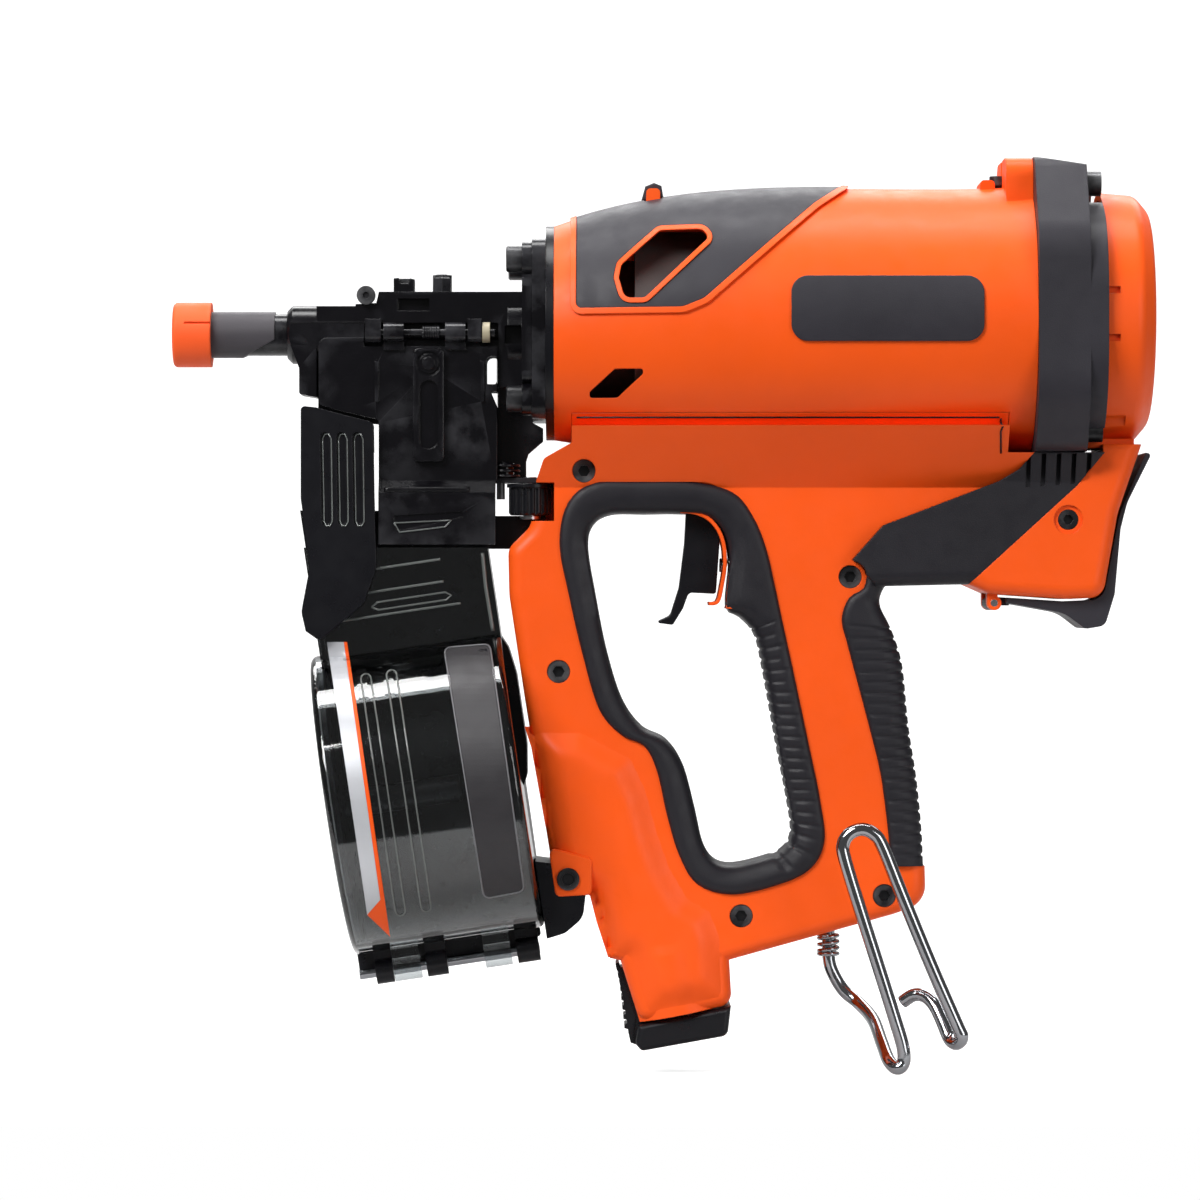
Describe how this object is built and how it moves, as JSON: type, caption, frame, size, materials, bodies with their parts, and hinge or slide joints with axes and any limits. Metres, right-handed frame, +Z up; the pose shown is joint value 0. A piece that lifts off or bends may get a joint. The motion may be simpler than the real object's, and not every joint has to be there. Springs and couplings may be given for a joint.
{
  "type": "cordless nail gun",
  "caption": "Cordless gas coil nail gun: drum magazine with hinged clear cover, hinged nose door, sliding probe, trigger in a closed loop handle, battery, fuel door and swivel hook.",
  "frame": {"origin": "centre of the muzzle's front face, on the drive axis", "axes": "+X along the drive axis from the muzzle to the back of the tool; +Z up, away from the handle; -Y to the side where the magazine cover and the nose door open"},
  "size_m": [0.3569, 0.1109, 0.3313],
  "materials": {
    "orange_housing": "satin",
    "dark_plastic": "satin",
    "black_plastic": "gloss",
    "rubber": "matte",
    "smoked_clear": "gloss",
    "black_metal": "satin",
    "dark_steel": "satin",
    "black_screws": "satin",
    "steel": "satin",
    "chrome": "polished",
    "aluminium": "cast",
    "beige_plastic": "satin",
    "brass": "satin",
    "soft_orange": "matte"
  },
  "bodies": {
    "tool": {"probe_spring": "black_metal", "nose_casting": "black_metal", "nose_bolts": "black_screws", "adapter_plate": "black_metal", "front_plate": "black_plastic", "door_hinge_pin": "black_metal", "hinge_washer": "beige_plastic", "door_spring": "black_metal", "depth_screw": "steel", "shroud": "orange_housing", "shroud_pad": "dark_plastic", "window_rims": "orange_housing", "side_plate": "dark_plastic", "head_band": "dark_plastic", "head_bolts": "black_screws", "rear_cap": "orange_housing", "cylinder": "aluminium", "bumper": "rubber", "chamber_head": "aluminium", "fan_motor": "steel", "spark_plug": "steel", "handle_shell_left": "orange_housing", "handle_shell_right": "orange_housing", "hand_opening_grip": "rubber", "rear_grip_pad": "rubber", "trigger_rim": "orange_housing", "housing_screws": "black_screws", "trigger_pin": "steel", "trigger_spring": "steel", "trigger_switch": "dark_plastic", "fuel_bay_band": "dark_plastic", "fuel_bay_cover": "orange_housing", "fuel_door_pin": "steel", "fuel_cell": "aluminium", "fuel_valve": "brass", "hook_spring": "steel", "canister": "black_plastic", "cover_hinge_pin": "chrome", "coil_platform": "black_plastic", "canister_brackets": "black_plastic"},
    "probe": {"no_mar_tip": "soft_orange", "probe_sheath": "dark_steel", "probe_tube": "black_metal", "probe_arm": "black_metal"},
    "sleeve": {"combustion_sleeve": "aluminium"},
    "piston": {"piston": "aluminium", "driver_blade": "steel"},
    "fan": {"fan": "black_plastic"},
    "depth_wheel": {"depth_wheel": "black_plastic"},
    "nose_door": {"nose_door": "black_metal"},
    "door_latch": {"door_latch": "black_metal"},
    "feed_pawl": {"feed_pawl": "steel"},
    "magazine_cover": {"magazine_cover": "smoked_clear", "cover_grip": "black_plastic"},
    "trigger": {"trigger": "black_plastic"},
    "battery": {"battery": "black_plastic"},
    "battery_latch": {"battery_latch": "black_plastic"},
    "fuel_door": {"fuel_door": "dark_plastic"},
    "rafter_hook": {"rafter_hook": "chrome"}
  },
  "joints": [
    {"name": "probe_slide", "type": "slide", "parent": "tool", "child": "probe", "axis": [1, 0, 0], "range_m": [0, 0.012], "stiffness_N_per_m": 400, "springref_m": -0.03, "deforming": ["probe_spring"]},
    {"name": "sleeve_slide", "type": "slide", "parent": "tool", "child": "sleeve", "axis": [1, 0, 0], "range_m": [0, 0.012]},
    {"name": "piston_slide", "type": "slide", "parent": "tool", "child": "piston", "axis": [-1, 0, 0], "range_m": [0, 0.104]},
    {"name": "fan_spin", "type": "hinge", "parent": "tool", "child": "fan", "pos_m": [0.2925, 0, 0], "axis": [1, 0, 0], "continuous": true},
    {"name": "depth_wheel_turn", "type": "hinge", "parent": "tool", "child": "depth_wheel", "pos_m": [0.13, -0.006, -0.0602], "axis": [0, 0, 1], "continuous": true},
    {"name": "nose_door_hinge", "type": "hinge", "parent": "tool", "child": "nose_door", "pos_m": [0.09, -0.0135, 0.0003], "axis": [-1, 0, 0], "range_deg": [0, 100], "stiffness_Nm_per_rad": 0.3, "springref_deg": -34.38},
    {"name": "door_latch_pivot", "type": "hinge", "parent": "nose_door", "child": "door_latch", "pos_m": [0.0934, -0.0138, -0.011], "axis": [0, 1, 0], "range_deg": [-35, 20]},
    {"name": "feed_pawl_slide", "type": "slide", "parent": "tool", "child": "feed_pawl", "axis": [0, 0, -1], "range_m": [0, 0.008], "stiffness_N_per_m": 150, "springref_m": -0.01},
    {"name": "magazine_cover_hinge", "type": "hinge", "parent": "tool", "child": "magazine_cover", "pos_m": [0.10191, 0, -0.22842], "axis": [0.989, 0, 0.1478], "range_deg": [0, 100], "stiffness_Nm_per_rad": 0.3, "springref_deg": -45.84},
    {"name": "trigger_pivot", "type": "hinge", "parent": "tool", "child": "trigger", "pos_m": [0.1935, 0, -0.0605], "axis": [0, -1, 0], "range_deg": [0, 10], "stiffness_Nm_per_rad": 1, "springref_deg": -8.59, "deforming": ["trigger_spring"]},
    {"name": "battery_slide", "type": "slide", "parent": "tool", "child": "battery", "axis": [0.1822, 0, -0.9833], "range_m": [0, 0.09]},
    {"name": "battery_latch_pivot", "type": "hinge", "parent": "battery", "child": "battery_latch", "pos_m": [0.1676, 0, -0.2562], "axis": [0, -1, 0], "range_deg": [0, 6], "stiffness_Nm_per_rad": 0.4, "springref_deg": -5.73},
    {"name": "fuel_door_hinge", "type": "hinge", "parent": "tool", "child": "fuel_door", "pos_m": [0.2982, 0, -0.0978], "axis": [0, 1, 0], "range_deg": [0, 70], "stiffness_Nm_per_rad": 0.2, "springref_deg": -28.65},
    {"name": "rafter_hook_swivel", "type": "hinge", "parent": "tool", "child": "rafter_hook", "pos_m": [0.2388, 0, -0.21], "axis": [0, 0, 1], "range_deg": [0, 75]}
  ],
  "couplings": [
    {"joint": "sleeve_slide", "follows": "probe_slide", "ratio": 1}
  ]
}
